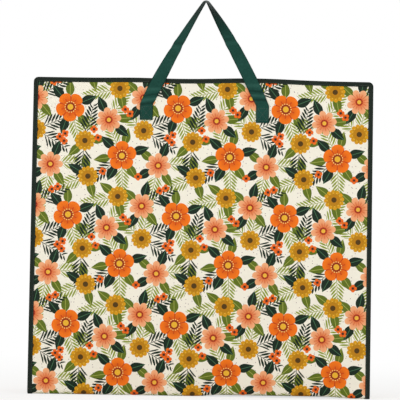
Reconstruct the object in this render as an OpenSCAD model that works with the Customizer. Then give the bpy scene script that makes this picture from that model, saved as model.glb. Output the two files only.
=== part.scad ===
// Large soft zip storage bag: one printed body sheet folded under the base, two gussets,
// bound seams, a zipped two-strip top and two webbing carry handles.
// Frame: origin under the middle of the base, +Z up, the front faces -Y, +X to the right.

/* [Bag] */
// Width over the side bindings
bag_w = 650; // [420:5:800]
// Height from the base to the top bindings
bag_h = 604; // [380:1:760]
// Depth from the front face to the back face
bag_d = 240; // [160:5:340]
// Outer radius of the folds along the bottom edges
fold_r = 8; // [5:0.5:20]
// Outer radius of the top corners
corner_r = 9; // [4:0.5:9]

/* [Fabric and seams] */
// Thickness of the laminated fabric
fabric_t = 1; // [0.9:0.05:1.4]
// Width of the bound seams
seam_w = 9; // [9:0.5:14]
// Thickness of the binding tape
binding_t = 0.6; // [0.3:0.05:0.7]

/* [Zip] */
// Length of the strips that open
mouth_w = 484; // [300:2:500]
// Width of the gap between the strips where the zip shows
zip_window = 14; // [12.5:0.5:20]
// Width of one zip tape
zip_tape_w = 14.3; // [10:0.1:20]
// Thickness of the zip tape
zip_tape_t = 0.5; // [0.4:0.05:0.8]
// Width of one coil
coil_w = 2.7; // [2:0.1:3]
// Height of the coils above the tape
coil_h = 2.2; // [1.6:0.1:2.6]
// Distance from the end of a gusset fold to the middle of the parked slider
slider_park = 31; // [29:1:36]
// Length of the slider
slider_l = 14; // [12:0.5:16]
// Width of the slider
slider_w = 11.2; // [10.4:0.1:11.6]
// Thickness of the slider plates
plate_t = 1.1; // [0.9:0.1:1.6]
// Thickness of the post between the slider plates
post_w = 1; // [0.8:0.1:1.2]
// Length of the pull tab from its pin
puller_l = 32; // [24:0.5:36]
// Width of the pull tab
puller_w = 8.4; // [7.6:0.2:10]
// Diameter of the pull tab's pin
pin_d = 1.6; // [1.2:0.1:1.8]
// Length of the tab sewn over each end of the zip
end_tab_l = 14; // [8:0.5:15]
// Width of the tab sewn over each end of the zip
end_tab_w = 22; // [18:0.5:40]

/* [Handles] */
// Width of the webbing
strap_w = 25; // [18:0.5:32]
// Thickness of the webbing
strap_t = 1.3; // [1:0.1:1.8]
// Distance between the middles of the two sewn ends of a handle
handle_spread = 222; // [160:2:300]
// Height of the handle's crease above the top edge
handle_rise = 147; // [110:1:190]
// Depth of the fold of the handle below the top edge
handle_drop = 49; // [30:1:80]
// Length of webbing sewn to the panel below the fold
sewn_l = 33; // [26:1:60]
// Outward bow of each leg of the handle at its middle
leg_bow = 9; // [0:1:20]
// Lean of the upright handle away from the panel, in degrees
handle_lean = 3.5; // [2:0.5:6]
// Twist of the webbing between the top edge and its crease, in degrees
handle_twist = 80; // [40:5:85]
// Swing of a handle from upright to hanging, in degrees
handle_swing = 173; // [150:1:173]
// Width of the sewing thread
thread_w = 0.8; // [0.5:0.1:1.2]

/* [Hidden] */
// Clearances: between plies sewn together, between pieces that move, and under the slider
sew_gap = 0.05;
move_gap = 0.3;
run_gap = 0.4;

// Depths of the plies in a bound seam, counted inward from the outer face
margin_in = binding_t + sew_gap;
lip_out = fabric_t + sew_gap;
lip_in = lip_out + fabric_t;
ply_out = lip_in + sew_gap;
ply_in = ply_out + binding_t;

// Lines where the bound seams begin, and the cut edges inside the bindings
seam_x = bag_w / 2 - seam_w;
seam_z = bag_h - seam_w;
edge_x = bag_w / 2 - margin_in;
edge_z = bag_h - margin_in;
edge_r = corner_r - margin_in;
front_y = -bag_d / 2;

// Levels of the zip, worked up from the underside of the top strips
strip_low = seam_z - fabric_t;
tape_high = strip_low - sew_gap;
tape_low = tape_high - zip_tape_t;
coil_low = tape_high + sew_gap;
coil_high = coil_low + coil_h;
coil_in = post_w / 2 + 0.2;
coil_out = coil_in + coil_w;
tape_out = coil_in + zip_tape_w;

// Ends of the strips, of the slots in the gussets and of the zip tails
strip_end = mouth_w / 2;
return_end = strip_end + 1;
tab_start = seam_x - slider_park + slider_l / 2 + 6;
tab_end = tab_start + end_tab_l;
slot_end = tab_start + 2;
tail_end = slot_end + 8;
end_tab_t = 2 * strap_t;

// Slider and pull tab
slider_x = seam_x - slider_park;
top_plate_low = coil_high + move_gap;
top_plate_high = top_plate_low + plate_t;
low_plate_high = tape_low - move_gap;
rail_w = slider_w / 2 - coil_out - run_gap;
rail_low = tape_high + run_gap;
pin_z = top_plate_high + move_gap + pin_d / 2;
arch_w = 3;
arch_l = 10;
arch_t = 1.2;
arch_low = pin_z + pin_d / 2 + run_gap;
arch_high = arch_low + arch_t;
arm_w = 1.2;
arm_in = arch_w / 2 + run_gap;
tab_clear = sqrt(pow(arch_l / 2, 2) + pow(arch_high - pin_z, 2)) + move_gap + 0.3;
pull_hole_d = 4;

// Handle fold lines and routes
hinge_z = bag_h - handle_drop;
hinge_y = front_y - sew_gap - strap_t - run_gap;
loop_y = front_y - move_gap - strap_t / 2;
loop_rise = handle_drop + handle_rise - strap_t / 2;
stitch_proud = 0.4;
stitch_inset = 4;
fold_clear = 0.2;
apex_x = strap_t + fold_clear;
leg_steps = 14;

fabric_colour = "#efe6cf";
binding_colour = "#22302a";
webbing_colour = "#2a4a42";
zip_colour = "#1f332d";
metal_colour = "#5b6462";

// Extrudes a Y-Z outline along X between two places
module along_x(start, end)
    translate([start, 0, 0])
        rotate([90, 0, 90])
            linear_extrude(end - start)
                children();

// Extrudes an X-Z outline along Y between two places
module along_y(start, end)
    translate([0, end, 0])
        rotate([90, 0, 0])
            linear_extrude(end - start)
                children();

// A box given by its two corners
module block(low, high)
    translate(low)
        cube(high - low);

module mirrored_x() mirror([1, 0, 0]) children();
module mirrored_y() mirror([0, 1, 0]) children();

// Outline of the folded body in Y-Z, drawn in by inset, with round folds at the bottom
module body_outline(inset, top) {
    half = bag_d / 2 - inset;
    r = fold_r - inset;
    translate([-half, fold_r])
        square([2 * half, top - fold_r]);
    translate([-half + r, inset])
        square([2 * (half - r), fold_r]);
    for (side = [-1, 1])
        translate([side * (half - r), fold_r])
            circle(r, $fn = 64);
}

// A U of fabric or tape between two depths below the outer face
module body_ply(outer, inner, top)
    difference() {
        body_outline(outer, top);
        body_outline(inner, top + 1);
    }

// Outline of the front in X-Z, with round top corners
module front_outline(half, top, r) {
    translate([-half, 0])
        square([2 * half, top - r]);
    translate([r - half, 0])
        square([2 * (half - r), top]);
    for (side = [-1, 1])
        translate([side * (half - r), top - r])
            circle(r, $fn = 64);
}

// Bag shell

// Front, base and back in one sheet, with its edges drawn back under the binding
module body_sheet()
    color(fabric_colour)
        intersection() {
            union() {
                along_x(sew_gap - seam_x, seam_x - sew_gap)
                    body_ply(0, fabric_t, seam_z - sew_gap);
                along_x(-edge_x, edge_x)
                    body_ply(margin_in, fabric_t, edge_z);
            }
            along_y(front_y, -front_y)
                front_outline(edge_x, edge_z, edge_r);
        }

// Side wall with its sewn lip, turned over at the top and slotted for the end of the zip
module right_gusset()
    color(fabric_colour)
        difference() {
            union() {
                along_x(seam_x - fabric_t, seam_x)
                    body_outline(lip_out, seam_z);
                along_x(seam_x - fabric_t, edge_x)
                    body_ply(lip_out, lip_in, seam_z);
                block([return_end, front_y + lip_out, strip_low],
                      [seam_x, -front_y - lip_out, seam_z]);
            }
            block([return_end - 1, -zip_window / 2, strip_low - 1],
                  [slot_end, zip_window / 2, seam_z + 1]);
        }

module left_gusset() mirrored_x() right_gusset();

// Tape folded over the raw edges down the front, under the base and up the back
module right_side_binding()
    color(binding_colour) {
        along_x(seam_x, bag_w / 2)
            body_ply(0, binding_t, seam_z);
        along_x(seam_x + sew_gap, bag_w / 2)
            body_ply(ply_out, ply_in, seam_z);
        along_x(bag_w / 2 - binding_t, bag_w / 2)
            body_ply(0, ply_in, seam_z);
    }

module left_side_binding() mirrored_x() right_side_binding();

// Tape folded over the top edge and round both corners
module front_top_binding()
    color(binding_colour)
        difference() {
            intersection() {
                along_y(front_y, front_y + ply_in)
                    front_outline(bag_w / 2, bag_h, corner_r);
                block([-bag_w, front_y - 1, seam_z + sew_gap], [bag_w, 0, bag_h + 1]);
            }
            along_y(front_y + binding_t, front_y + ply_out)
                front_outline(bag_w / 2 - binding_t, bag_h - binding_t, corner_r - binding_t);
        }

module back_top_binding() mirrored_y() front_top_binding();

// Edge of the top strip that is caught upright inside the top binding
module front_strip_hem()
    color(fabric_colour)
        intersection() {
            along_y(front_y + lip_out, front_y + lip_in)
                front_outline(edge_x, edge_z, edge_r);
            block([-bag_w, front_y, seam_z + sew_gap], [bag_w, 0, bag_h]);
        }

module back_strip_hem() mirrored_y() front_strip_hem();

// Zipped top

// Strip between the top binding and the zip, which lifts when the zip is open
module front_top_strip()
    color(fabric_colour)
        block([-strip_end, front_y + ply_in + move_gap, strip_low],
              [strip_end, -zip_window / 2, seam_z]);

module back_top_strip() mirrored_y() front_top_strip();

module zip_tape_half(start, end)
    block([start, -tape_out, tape_low], [end, -coil_in, tape_high]);

module zip_coil_half(start, end)
    block([start, -coil_out, coil_low], [end, -coil_in, coil_high]);

module front_zip_tape() color(zip_colour) zip_tape_half(-strip_end, strip_end);
module back_zip_tape() mirrored_y() front_zip_tape();
module front_zip_coil() color(zip_colour) zip_coil_half(-strip_end, strip_end);
module back_zip_coil() mirrored_y() front_zip_coil();

// End of the zip, sewn under the fold of the gusset, where the slider parks
module right_zip_tail()
    color(zip_colour) {
        zip_tape_half(return_end, tail_end);
        mirrored_y()
            zip_tape_half(return_end, tail_end);
        block([slot_end, -tape_out, tape_low], [tail_end, tape_out, tape_high]);
    }

module left_zip_tail() mirrored_x() right_zip_tail();

module right_tail_coil()
    color(zip_colour) {
        zip_coil_half(return_end, tab_start);
        mirrored_y()
            zip_coil_half(return_end, tab_start);
    }

module left_tail_coil() mirrored_x() right_tail_coil();

// Doubled webbing sewn across the end of the zip
module right_zip_end_tab()
    color(webbing_colour)
        difference() {
            block([tab_start + sew_gap, -end_tab_w / 2, strip_low],
                  [tab_end, end_tab_w / 2, seam_z + sew_gap + end_tab_t]);
            block([tab_start - 1, -end_tab_w, strip_low - 1],
                  [tab_end + 1, -zip_window / 2 + sew_gap, seam_z + sew_gap]);
            block([tab_start - 1, zip_window / 2 - sew_gap, strip_low - 1],
                  [tab_end + 1, end_tab_w, seam_z + sew_gap]);
            block([slot_end - sew_gap, -end_tab_w, strip_low - 1],
                  [tab_end + 1, end_tab_w, seam_z + sew_gap]);
        }

module left_zip_end_tab() mirrored_x() right_zip_end_tab();

// Plan of a slider plate, round at the nose
module plate_plan() {
    nose = slider_w / 2;
    translate([-slider_l / 2, -slider_w / 2])
        square([slider_l - nose, slider_w]);
    translate([slider_l / 2 - nose, 0])
        circle(nose, $fn = 64);
}

// Two plates joined by a post between the coils, with rails and an arch over the pin
module zip_slider()
    color(metal_colour)
        translate([slider_x, 0, 0]) {
            translate([0, 0, low_plate_high - plate_t])
                linear_extrude(plate_t)
                    plate_plan();
            translate([0, 0, top_plate_low])
                linear_extrude(plate_t)
                    plate_plan();
            block([slider_l / 2 - 5, -post_w / 2, low_plate_high - plate_t / 2],
                  [slider_l / 2 - 2, post_w / 2, top_plate_low + plate_t / 2]);
            for (side = [-1, 1])
                block([-slider_l / 2, side * (slider_w - rail_w) / 2 - rail_w / 2, rail_low],
                      [slider_l / 2 - slider_w / 2, side * (slider_w - rail_w) / 2 + rail_w / 2,
                       top_plate_low + plate_t / 2]);
            difference() {
                block([-arch_l / 2, -arch_w / 2, top_plate_low + plate_t / 2],
                      [arch_l / 2, arch_w / 2, arch_high]);
                block([arch_t - arch_l / 2, -arch_w, top_plate_high],
                      [arch_l / 2 - arch_t, arch_w, arch_low]);
            }
        }

// Pull tab: a pin under the arch, two arms and a tab with a round end and a hole
module zip_puller()
    color(metal_colour)
        translate([slider_x, 0, pin_z]) {
            rotate([90, 0, 0])
                cylinder(d = pin_d, h = 2 * (arm_in + arm_w), center = true, $fn = 48);
            for (side = [-1, 1])
                block([0, side * (arm_in + arm_w / 2) - arm_w / 2, -pin_d / 2],
                      [tab_clear + arm_w, side * (arm_in + arm_w / 2) + arm_w / 2, pin_d / 2]);
            translate([0, 0, -pin_d / 2])
                linear_extrude(pin_d)
                    difference() {
                        union() {
                            translate([tab_clear, -puller_w / 2])
                                square([puller_l - puller_w / 2 - tab_clear, puller_w]);
                            translate([puller_l - puller_w / 2, 0])
                                circle(d = puller_w, $fn = 64);
                        }
                        translate([puller_l - puller_w / 2, 0])
                            circle(d = pull_hole_d, $fn = 48);
                    }
        }

// Handles

// The two ends of the webbing, sewn flat on the panel below the fold
module front_handle_ends()
    color(webbing_colour)
        for (side = [-1, 1])
            translate([side * handle_spread / 2, 0, 0])
                block([-strap_w / 2, front_y - sew_gap - strap_t, hinge_z - fold_clear - sewn_l],
                      [strap_w / 2, front_y - sew_gap, hinge_z - fold_clear]);

module back_handle_ends() mirrored_y() front_handle_ends();

// Plan of one box stitch with its crossing diagonals, around its own middle
module box_stitch(width, height) {
    difference() {
        square([width, height], center = true);
        square([width - 2 * thread_w, height - 2 * thread_w], center = true);
    }
    reach = sqrt(pow(width - thread_w, 2) + pow(height - thread_w, 2));
    for (side = [-1, 1])
        rotate(side * atan2(height - thread_w, width - thread_w))
            square([reach, thread_w], center = true);
}

module front_handle_stitching()
    color(webbing_colour)
        along_y(front_y - sew_gap - strap_t - stitch_proud, front_y - sew_gap - strap_t)
            for (side = [-1, 1])
                translate([side * handle_spread / 2, hinge_z - fold_clear - sewn_l / 2])
                    box_stitch(strap_w - 2 * stitch_inset, sewn_l - 2 * stitch_inset);

module back_handle_stitching() mirrored_y() front_handle_stitching();

// Route of one leg above the fold, as a quadratic curve from the fold to the crease
function leg_mid() = [(handle_spread / 2 + apex_x) / 2 + leg_bow, loop_rise / 2];
function leg_point(t) =
    (1 - t) * (1 - t) * [handle_spread / 2, fold_clear]
    + 2 * t * (1 - t) * leg_mid()
    + t * t * [apex_x, loop_rise - strap_t / 2];
function leg_slope(t) =
    2 * (1 - t) * (leg_mid() - [handle_spread / 2, fold_clear])
    + 2 * t * ([apex_x, loop_rise - strap_t / 2] - leg_mid());
// The webbing leaves the fold square to it and takes up the slope of the leg over its first part
function leg_turn(t) = min(1, t / 0.2) * atan2(-leg_slope(t)[0], leg_slope(t)[1]);
function twist_at(height) =
    handle_twist * max(0, min(1, (height - handle_drop) / handle_rise));

// Four corners of the webbing at a place on the route: out is the side away from the loop's middle
function strap_ring(place, out) =
    let (twist = twist_at(place[1]),
         wide = [cos(twist) * out[0], sin(twist), cos(twist) * out[1]] * strap_w / 2,
         thick = [sin(twist) * out[0], -cos(twist), sin(twist) * out[1]] * strap_t / 2,
         middle = [place[0], loop_y - place[1] * tan(handle_lean), hinge_z + place[1]])
    [middle + wide + thick, middle + wide - thick, middle - wide - thick, middle - wide + thick];

function leg_ring(side, t) =
    strap_ring([side * leg_point(t)[0], leg_point(t)[1]],
               [side * cos(leg_turn(t)), sin(leg_turn(t))]);

function loop_rings() = concat(
    [for (i = [0 : leg_steps]) leg_ring(-1, i / leg_steps)],
    [strap_ring([0, loop_rise], [0, 1])],
    [for (i = [leg_steps : -1 : 0]) leg_ring(1, i / leg_steps)]);

// Skin over rings of four points each, in triangles, with flat ends
module ring_sweep(rings) {
    count = len(rings);
    sides = [for (i = [0 : count - 2], k = [0 : 3])
        let (a = 4 * i + k, b = 4 * i + (k + 1) % 4)
        each [[a, b, b + 4], [a, b + 4, a + 4]]];
    last = 4 * (count - 1);
    ends = [[2, 1, 0], [3, 2, 0], [last, last + 1, last + 2], [last, last + 2, last + 3]];
    polyhedron(points = [for (ring = rings) each ring], faces = concat(sides, ends));
}

// Loop of the front handle, standing up as it is stored
module front_handle_loop()
    color(webbing_colour)
        ring_sweep(loop_rings());

// Loop of the back handle, the same piece swung down to hang behind the back panel
module back_handle_loop()
    mirrored_y()
        translate([0, hinge_y, hinge_z])
            rotate([handle_swing, 0, 0])
                translate([0, -hinge_y, -hinge_z])
                    front_handle_loop();

body_sheet();
left_gusset();
right_gusset();
left_side_binding();
right_side_binding();
front_top_binding();
back_top_binding();
front_strip_hem();
back_strip_hem();
front_handle_ends();
back_handle_ends();
front_handle_stitching();
back_handle_stitching();
left_zip_tail();
right_zip_tail();
left_tail_coil();
right_tail_coil();
left_zip_end_tab();
right_zip_end_tab();
front_top_strip();
back_top_strip();
front_zip_tape();
back_zip_tape();
front_zip_coil();
back_zip_coil();
zip_slider();
zip_puller();
front_handle_loop();
back_handle_loop();
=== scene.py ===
import math

import bmesh
import bpy
import numpy as np
from mathutils import Matrix, Vector, noise


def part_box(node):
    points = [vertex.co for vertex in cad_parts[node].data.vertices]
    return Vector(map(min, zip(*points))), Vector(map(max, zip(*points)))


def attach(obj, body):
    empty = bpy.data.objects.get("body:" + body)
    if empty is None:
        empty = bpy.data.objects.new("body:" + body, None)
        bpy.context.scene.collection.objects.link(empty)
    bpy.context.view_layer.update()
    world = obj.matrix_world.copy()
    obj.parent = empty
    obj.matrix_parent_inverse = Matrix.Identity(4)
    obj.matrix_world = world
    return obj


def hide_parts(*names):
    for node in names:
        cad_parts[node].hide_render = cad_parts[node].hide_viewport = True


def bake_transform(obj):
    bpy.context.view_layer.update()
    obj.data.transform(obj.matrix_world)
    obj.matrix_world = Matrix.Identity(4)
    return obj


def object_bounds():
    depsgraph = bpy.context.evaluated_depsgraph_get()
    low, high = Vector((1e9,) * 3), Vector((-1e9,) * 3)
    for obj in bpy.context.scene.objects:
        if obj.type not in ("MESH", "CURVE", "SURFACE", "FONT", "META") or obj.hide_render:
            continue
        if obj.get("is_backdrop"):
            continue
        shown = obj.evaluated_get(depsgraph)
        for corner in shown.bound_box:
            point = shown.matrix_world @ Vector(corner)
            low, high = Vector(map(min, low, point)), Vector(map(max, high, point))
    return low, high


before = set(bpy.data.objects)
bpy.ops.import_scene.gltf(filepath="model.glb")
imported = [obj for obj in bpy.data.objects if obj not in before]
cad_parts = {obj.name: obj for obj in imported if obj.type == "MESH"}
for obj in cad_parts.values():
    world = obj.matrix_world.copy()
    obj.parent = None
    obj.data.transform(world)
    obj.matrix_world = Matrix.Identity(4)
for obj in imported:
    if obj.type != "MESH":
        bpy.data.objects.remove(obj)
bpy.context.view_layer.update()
scene = bpy.context.scene
MM = 0.001
SIDES = ((-1, "front"), (1, "back"))
ENDS = ((-1, "left"), (1, "right"))

# Sizes of the bag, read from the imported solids
SEAM_X, EDGE_X = [corner.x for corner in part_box("right_side_binding")]
SEAM_Z, EDGE_Z = [corner.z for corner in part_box("front_top_binding")]
ZIP_END_X, TAIL_END_X = [corner.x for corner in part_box("right_zip_tail")]
STRIP_EDGE_Y, HEM_Y = [corner.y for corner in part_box("back_top_strip")]
STRAP_ROOT_LOW, STRAP_ROOT_HIGH = [corner.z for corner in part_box("front_handle_ends")]
HALF_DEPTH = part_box("body_sheet")[1].y
TAPE_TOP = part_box("front_zip_tape")[1].z
TAPE_EDGE_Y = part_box("back_zip_tape")[1].y
COIL_EDGE_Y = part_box("back_zip_coil")[1].y
COIL_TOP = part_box("front_zip_coil")[1].z
PARKED_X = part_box("zip_slider")[0].x - 1 * MM
STRAP_W = 25 * MM
STRAP_ROOT_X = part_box("front_handle_ends")[1].x - STRAP_W / 2
TAB_LOW, TAB_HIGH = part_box("right_zip_end_tab")

# Sizes of the cloth and of the sewing
FOLD_R = 8 * MM
FABRIC_T = 0.6 * MM
MARGIN_DEPTH = 0.7 * MM
LIP_DEPTH = 1.55 * MM
LIP = 7 * MM
CELL = 9.5 * MM
STITCH_LONG = 2.6 * MM
STITCH_PITCH = 3.6 * MM
STITCH_START = 0.4 * MM
TOP_SAG = 3.4 * MM
TOP_PUCKER = 0.7 * MM
# slack in the top edges beside the handle: middle, half width and height of each rise
EDGE_RISES = [(-0.13, 0.06, 1.4 * MM), (0.10, 0.095, 3.6 * MM)]


def smooth(value, start, end):
    """Eases from 0 at start to 1 at end."""
    t = min(1.0, max(0.0, (value - start) / (end - start)))
    return t * t * (3 - 2 * t)


def spaced(start, end, step):
    """Even places from start to end, about a step apart."""
    count = max(1, round(abs(end - start) / step))
    return [start + (end - start) * i / count for i in range(count + 1)]


def edge_wave(x):
    """Height of the slack in the top edges."""
    return sum(rise * math.exp(-(((x - middle) / wide) ** 2)) for middle, wide, rise in EDGE_RISES)


def top_drop(x, y):
    """How far the top sags between its outer seams and the zip, fading out at the sides."""
    across = (abs(y) - TAPE_EDGE_Y - 1 * MM) / (HEM_Y - TAPE_EDGE_Y - 1 * MM)
    sag = TOP_SAG * math.sin(math.pi * min(1.0, max(0.0, across)))
    pucker = TOP_PUCKER * noise.noise(Vector((x * 28, y * 19, 3.7)))
    return (sag + pucker * min(1.0, sag / (2 * MM))) * (1 - smooth(abs(x), 0.25, 0.31))


def add(tree, kind, *links, **settings):
    """Adds a node, its operation named after its kind. Its links are values, hex colours, sockets or
    nodes for its inputs, in order or in a dict by name."""
    kind, _, operation = kind.partition(" ")
    made = tree.nodes.new("ShaderNode" + kind)
    if operation:
        made.operation = operation
    for name, value in settings.items():
        setattr(made, name, value)
    by_name = links and isinstance(links[0], dict)
    for key, value in links[0].items() if by_name else enumerate(links):
        if isinstance(value, str):
            value = colour(value)
        elif isinstance(value, bpy.types.Node):
            value = value.outputs[0]
        if isinstance(value, bpy.types.NodeSocket):
            tree.links.new(value, made.inputs[key])
        else:
            made.inputs[key].default_value = value
    return made


def colour(code):
    """Linear RGBA of an sRGB hex colour."""
    parts = [int(code[i : i + 2], 16) / 255 for i in (1, 3, 5)]
    return [p / 12.92 if p <= 0.04045 else ((p + 0.055) / 1.055) ** 2.4 for p in parts] + [1.0]


def placed(name, data):
    """A new object in the scene."""
    made = bpy.data.objects.new(name, data)
    scene.collection.objects.link(made)
    return made


def new_material(name):
    """An empty node material and its tree."""
    material = bpy.data.materials.new(name)
    material.use_nodes = True
    material.node_tree.nodes.clear()
    return material, material.node_tree


# Camera, light and floor
VIEW_DISTANCE = 3.5
VIEW_WIDTH = 0.7628
VIEW_TILT = math.radians(3)
VIEW_ROLL = math.radians(-0.95)
camera_data = bpy.data.cameras.new("camera")
camera_data.sensor_width = 36
camera_data.lens = 36 * VIEW_DISTANCE / VIEW_WIDTH
camera = placed("camera", camera_data)
view_middle = Vector((-0.0002, -HALF_DEPTH, 0.373))
camera.location = view_middle - VIEW_DISTANCE * Vector((0, math.cos(VIEW_TILT), math.sin(VIEW_TILT)))
camera.rotation_euler = (math.pi / 2 + VIEW_TILT, VIEW_ROLL, 0)
scene.camera = camera
scene.view_settings.view_transform = "Standard"

world = bpy.data.worlds.new("studio")
scene.world = world
world.use_nodes = True
tree = world.node_tree
tree.nodes.clear()
rays = add(tree, "LightPath").outputs
seen = add(tree, "Math MAXIMUM", rays["Is Camera Ray"], rays["Is Glossy Ray"])
seen = add(tree, "Math MAXIMUM", seen, rays["Is Transmission Ray"])
room_light = add(tree, "Background", "#ffffff", 0.66)
white_backdrop = add(tree, "Background", "#ffffff", 1.0)
backdrop = add(tree, "MixShader", seen, room_light, white_backdrop)
add(tree, "OutputWorld", backdrop)

LAMP_TARGET = Vector((0, 0, 0.3))
for lamp_name, place, power, size in (
    ("key_softbox", (-1.7, -2.9, 2.3), 42, 1.8),
    ("fill_softbox", (2.1, -2.4, 1.3), 16, 2.2),
    ("back_softbox", (0.6, 2.6, 2.2), 24, 2.0),
):
    lamp_data = bpy.data.lights.new(lamp_name, "AREA")
    lamp_data.energy = power
    lamp_data.size = size
    lamp = placed(lamp_name, lamp_data)
    lamp.location = place
    lamp.rotation_euler = (LAMP_TARGET - Vector(place)).to_track_quat("-Z", "Y").to_euler()

# Matt white studio floor: it takes the shadow near the bag and is plain white further off
floor_material, tree = new_material("matt_white_floor")
rays = add(tree, "LightPath").outputs
place = add(tree, "TexCoord").outputs["Object"]
away = add(tree, "VectorMath LENGTH", place).outputs["Value"]
whiteness = add(tree, "MapRange", away, 0.4, 2.2, 0.7, 1.0)
whiteness = add(tree, "Math MULTIPLY", rays["Is Camera Ray"], whiteness)
shaded = add(tree, "BsdfDiffuse", "#f6f5f2")
plain = add(tree, "Emission", "#ffffff", 1.0)
add(tree, "OutputMaterial", add(tree, "MixShader", whiteness, shaded, plain))
floor_mesh = bpy.data.meshes.new("floor")
floor_mesh.from_pydata([(-9, -9, 0), (9, -9, 0), (9, 9, 0), (-9, 9, 0)], [], [(0, 1, 2, 3)])
floor_mesh.materials.append(floor_material)
floor = placed("floor", floor_mesh)
floor.location.z = -0.4 * MM
floor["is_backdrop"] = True


# Printed cloth: a scattered garden print of made-up flowers, in millimetres on the flat cloth.
# A spot is (across, up, turn); the turn in radians rides along as the third value
def around(*fans):
    """Spots that point out from under flowers; a fan is a flower's spot, a reach and its angles."""
    return [
        (x + reach * math.cos(angle), y + reach * math.sin(angle), angle)
        for (x, y, _), reach, *angles in fans
        for angle in angles
    ]


REPEAT = 206.0
BIG_SPOTS = [(52, 58, 0.3), (158, 150, 0.9)]
DAISY_SPOTS = [(122, 40, 0), (26, 126, 0.2), (92, 168, 0.35)]
BUTTON_SPOTS = [(187, 86, 0), (93, 106, 0.2), (46, 186, 0.1), (194, 18, 0)]
BIG_LOW, BIG_HIGH = BIG_SPOTS
DAISY_LOW, DAISY_LEFT, DAISY_HIGH = DAISY_SPOTS
BUTTON_RIGHT, BUTTON_MIDDLE, BUTTON_HIGH, BUTTON_LOW = BUTTON_SPOTS
BUD_SPOTS = [
    (84, 18, 0), (139, 93, 0.2), (149, 99, 0.6), (147, 85, 0), (6, 92, 0.4),
    (204, 108, 0), (126, 198, 0.3), (137, 203, 0), (66, 138, 0.7), (57, 146, 0.1), (16, 28, 0.3),
]
DARK_LEAF_SPOTS = around(
    (BIG_LOW, 38, 0.3, 2.4, 4.2), (BIG_HIGH, 38, 0.4, 2.25, 4.4), (DAISY_LOW, 33, 1.2, 3.7),
    (DAISY_LEFT, 33, 2.0, 5.6), (DAISY_HIGH, 33, 1.35, 4.2), (BUTTON_LOW, 28, 2.6))
OLIVE_LEAF_SPOTS = around(
    (BIG_LOW, 38, 1.35, 3.3, 5.3), (BIG_HIGH, 38, 1.6, 5.5), (DAISY_LOW, 32, 2.45, 5.3),
    (DAISY_LEFT, 32, 0.1), (DAISY_HIGH, 32, 2.4, 5.4), (BUTTON_HIGH, 27, 2.5, 4.9),
    (BUTTON_RIGHT, 27, 0.1, 3.9), (BUTTON_LOW, 27, 5.0, 1.75))
DARK_SPRIG_SPOTS = around(
    (BUTTON_MIDDLE, 42, 0.4, 5.75), (BUTTON_RIGHT, 42, 1.35, 4.6), (DAISY_HIGH, 40, 0.5),
    (BIG_LOW, 44, 3.85))
LIGHT_SPRIG_SPOTS = around(
    (DAISY_LOW, 44, 0.1, 4.5), (DAISY_LEFT, 44, 1.0, 3.3), (BUTTON_MIDDLE, 39, 2.4, 1.35),
    (BUTTON_LOW, 40, 3.5), (BUTTON_HIGH, 40, 3.35), (BIG_LOW, 46, 4.75, 2.0), (BIG_HIGH, 46, 5.0))


def nearest(tree, cloth, spots):
    """Offset from the nearest spot of the repeat, with that spot's turn as the third value."""
    here, far = None, None
    for spot in spots:
        apart = add(tree, "VectorMath SUBTRACT", cloth, spot)
        wrapped = add(tree, "VectorMath WRAP", apart, [REPEAT / 2] * 3, [-REPEAT / 2] * 3)
        away = add(tree, "VectorMath LENGTH", wrapped).outputs["Value"]
        if here is None:
            here, far = wrapped, away
            continue
        closer = add(tree, "Math LESS_THAN", away, far)
        here = add(tree, "Mix", {0: closer, 4: here, 5: wrapped}, data_type="VECTOR").outputs[1]
        far = add(tree, "Math MINIMUM", away, far)
    return here


def turned(tree, cloth, spots):
    """The same offset along and across the nearest spot's own direction."""
    offset = nearest(tree, cloth, spots)
    turn = add(tree, "SeparateXYZ", offset).outputs[2]
    offset = add(tree, "VectorRotate", {"Vector": offset, "Angle": turn}, rotation_type="Z_AXIS")
    return add(tree, "SeparateXYZ", offset).outputs


def painted(tree, mask, below, above):
    """Lays a colour over the colours below where the mask is 1."""
    return add(tree, "Mix", {0: mask, 6: below, 7: above}, data_type="RGBA").outputs[2]


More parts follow.
